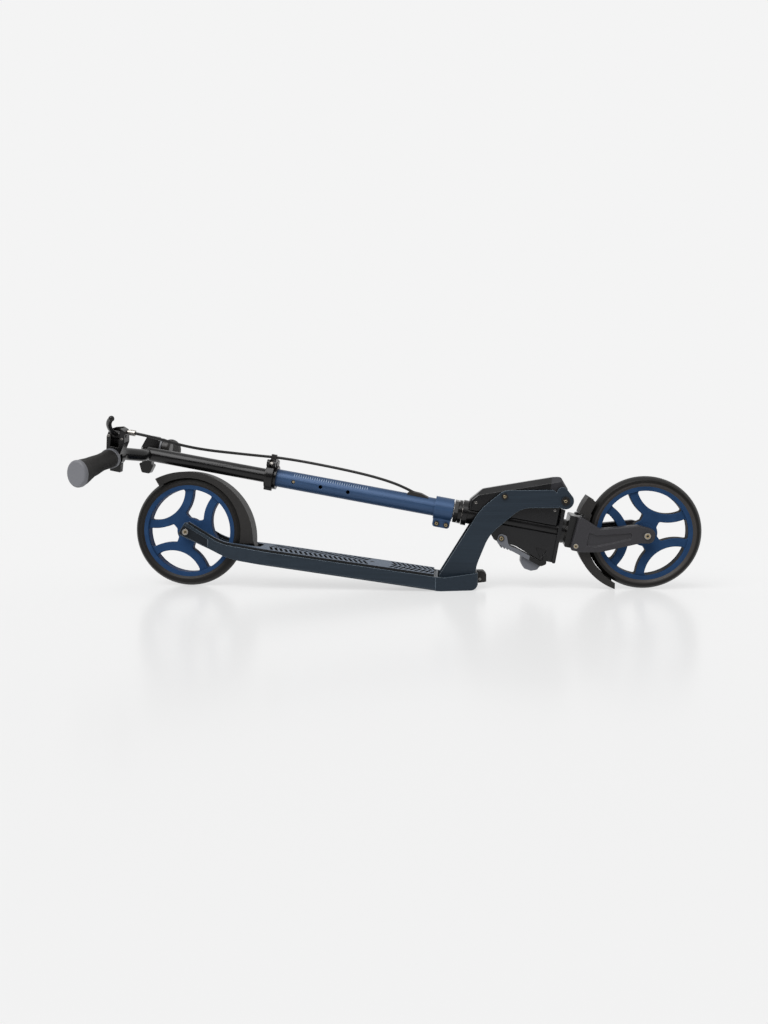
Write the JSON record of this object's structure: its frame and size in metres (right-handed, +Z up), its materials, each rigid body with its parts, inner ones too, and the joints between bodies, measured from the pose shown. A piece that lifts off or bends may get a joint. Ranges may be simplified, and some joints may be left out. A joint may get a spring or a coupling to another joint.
{
  "type": "folding kick scooter",
  "caption": "Folding kick scooter with large spoked wheels, shown folded: sloping deck, latch neck, telescopic steering column, T-bar with brake lever and bell, foot-brake fender.",
  "frame": {"origin": "on the ground, under the middle of the folded scooter", "axes": "+X towards the front wheel, +Y to the rider's left, +Z up"},
  "size_m": [1.0464, 0.4942, 0.3011],
  "materials": {
    "deck_blue": "dark anodised, satin",
    "panel_grey": "anodised, pierced",
    "black_plastic": "moulded",
    "steel": "turned",
    "dark_metal": "satin",
    "spacer_alloy": "turned",
    "wheel_blue": "moulded, satin",
    "tyre_rubber": "matt",
    "black_alloy": "anodised",
    "gloss_black": "gloss",
    "lever_grey": "moulded",
    "column_blue": "anodised, satin",
    "fork_grey": "cast, satin",
    "grip_rubber": "matt",
    "shoe_rubber": "matt",
    "bell_steel": "gloss"
  },
  "bodies": {
    "deck": {"deck_extrusion": "deck_blue", "grip_panel": "panel_grey", "deck_nose": "deck_blue", "neck_plate_right": "deck_blue", "neck_plate_left": "deck_blue", "neck_bridge": "deck_blue", "catch_block": "black_plastic", "lock_studs": "steel", "fold_pivot_bolt": "steel", "dropout_plates": "dark_metal", "rear_axle": "steel", "rear_axle_spacers": "spacer_alloy", "brake_pivot_pin": "steel"},
    "rear_wheel": {"rear_rim": "wheel_blue", "rear_tyre": "tyre_rubber", "rear_bearings": "steel"},
    "rear_brake": {"rear_fender": "black_plastic"},
    "head": {"head_tube": "black_alloy", "housing_right": "gloss_black", "housing_left": "gloss_black", "lock_housing": "gloss_black", "fold_bushes": "black_plastic", "headset_cups": "black_alloy", "headset_bearings": "steel", "latch_pivot_pin": "steel"},
    "release": {"release_lever": "lever_grey"},
    "steering": {"steerer_tube": "steel", "headset_nut": "black_alloy", "outer_tube": "column_blue", "lower_clamp": "column_blue", "lower_clamp_bolts": "steel", "cable_port": "black_plastic", "collar_clamp": "black_alloy", "collar_skewer": "steel", "cable_clip": "black_plastic", "fork_crown": "fork_grey", "fork_arm_right": "fork_grey", "fork_arm_left": "fork_grey", "fork_bolt": "steel", "front_fender": "black_plastic", "front_axle": "steel", "front_axle_spacers": "spacer_alloy"},
    "front_wheel": {"front_rim": "wheel_blue", "front_tyre": "tyre_rubber", "front_bearings": "steel"},
    "quick_release": {"collar_lever": "black_alloy"},
    "front_brake": {"brake_shoe": "shoe_rubber"},
    "tbar": {"inner_tube": "black_alloy", "handlebar": "black_alloy", "grip_right": "grip_rubber", "grip_left": "grip_rubber", "grip_caps": "lever_grey", "grip_rings": "lever_grey", "brake_perch": "black_plastic", "barrel_adjuster": "steel", "bell_base": "black_plastic", "brake_cable": "grip_rubber"},
    "brake_lever": {"brake_blade": "black_alloy"},
    "button": {"height_button": "steel"},
    "bell": {"bell_dome": "bell_steel"}
  },
  "joints": [
    {"name": "rear_spin", "type": "hinge", "parent": "deck", "child": "rear_wheel", "pos_m": [-0.39, 0, 0.1], "axis": [0, 1, 0], "continuous": true},
    {"name": "rear_brake_press", "type": "hinge", "parent": "deck", "child": "rear_brake", "pos_m": [-0.276, 0, 0.06], "axis": [0, -1, 0], "range_deg": [0, 1.1], "stiffness_Nm_per_rad": 8, "springref_deg": -3.44},
    {"name": "fold", "type": "hinge", "parent": "deck", "child": "head", "pos_m": [0.28287, 0, 0.15708], "axis": [0, 1, 0], "range_deg": [0, 80]},
    {"name": "release_pull", "type": "hinge", "parent": "head", "child": "release", "pos_m": [0.1725, 0, 0.09054], "axis": [0, 1, 0], "range_deg": [0, 9], "stiffness_Nm_per_rad": 2, "springref_deg": -8.59},
    {"name": "steer", "type": "hinge", "parent": "head", "child": "steering", "pos_m": [0.20022, 0, 0.1176], "axis": [0.9837, 0, -0.1798], "range_deg": [-45, 45]},
    {"name": "front_spin", "type": "hinge", "parent": "steering", "child": "front_wheel", "pos_m": [0.42285, -0.00207, 0.1009], "axis": [0.0157, 0.9962, 0.0857], "continuous": true},
    {"name": "quick_release_open", "type": "hinge", "parent": "steering", "child": "quick_release", "pos_m": [-0.2361, -0.0202, 0.2221], "axis": [-0.9837, 0, 0.1798], "range_deg": [0, 110]},
    {"name": "front_brake_push", "type": "slide", "parent": "steering", "child": "front_brake", "axis": [0.9837, 0, -0.1798], "range_m": [0, 0.004]},
    {"name": "height", "type": "slide", "parent": "steering", "child": "tbar", "axis": [0.9837, 0, -0.1798], "range_m": [0, 0.1], "deforming": ["brake_cable"]},
    {"name": "brake_squeeze", "type": "hinge", "parent": "tbar", "child": "brake_lever", "pos_m": [-0.48739, -0.11098, 0.27218], "axis": [0.9837, 0, -0.1798], "range_deg": [0, 22], "stiffness_Nm_per_rad": 0.5, "springref_deg": -17.19},
    {"name": "button_press", "type": "slide", "parent": "tbar", "child": "button", "axis": [0.0157, 0.9962, 0.0857], "range_m": [-0.0022, 0.003], "stiffness_N_per_m": 300, "springref_m": -0.003},
    {"name": "bell_turn", "type": "hinge", "parent": "tbar", "child": "bell", "pos_m": [-0.44635, 0.04387, 0.25093], "axis": [0.9837, 0, -0.1798], "range_deg": [0, 40], "stiffness_Nm_per_rad": 0.02, "springref_deg": -5.73}
  ],
  "couplings": [
    {"joint": "front_brake_push", "follows": "brake_squeeze", "m_per_rad": 0.0104}
  ]
}
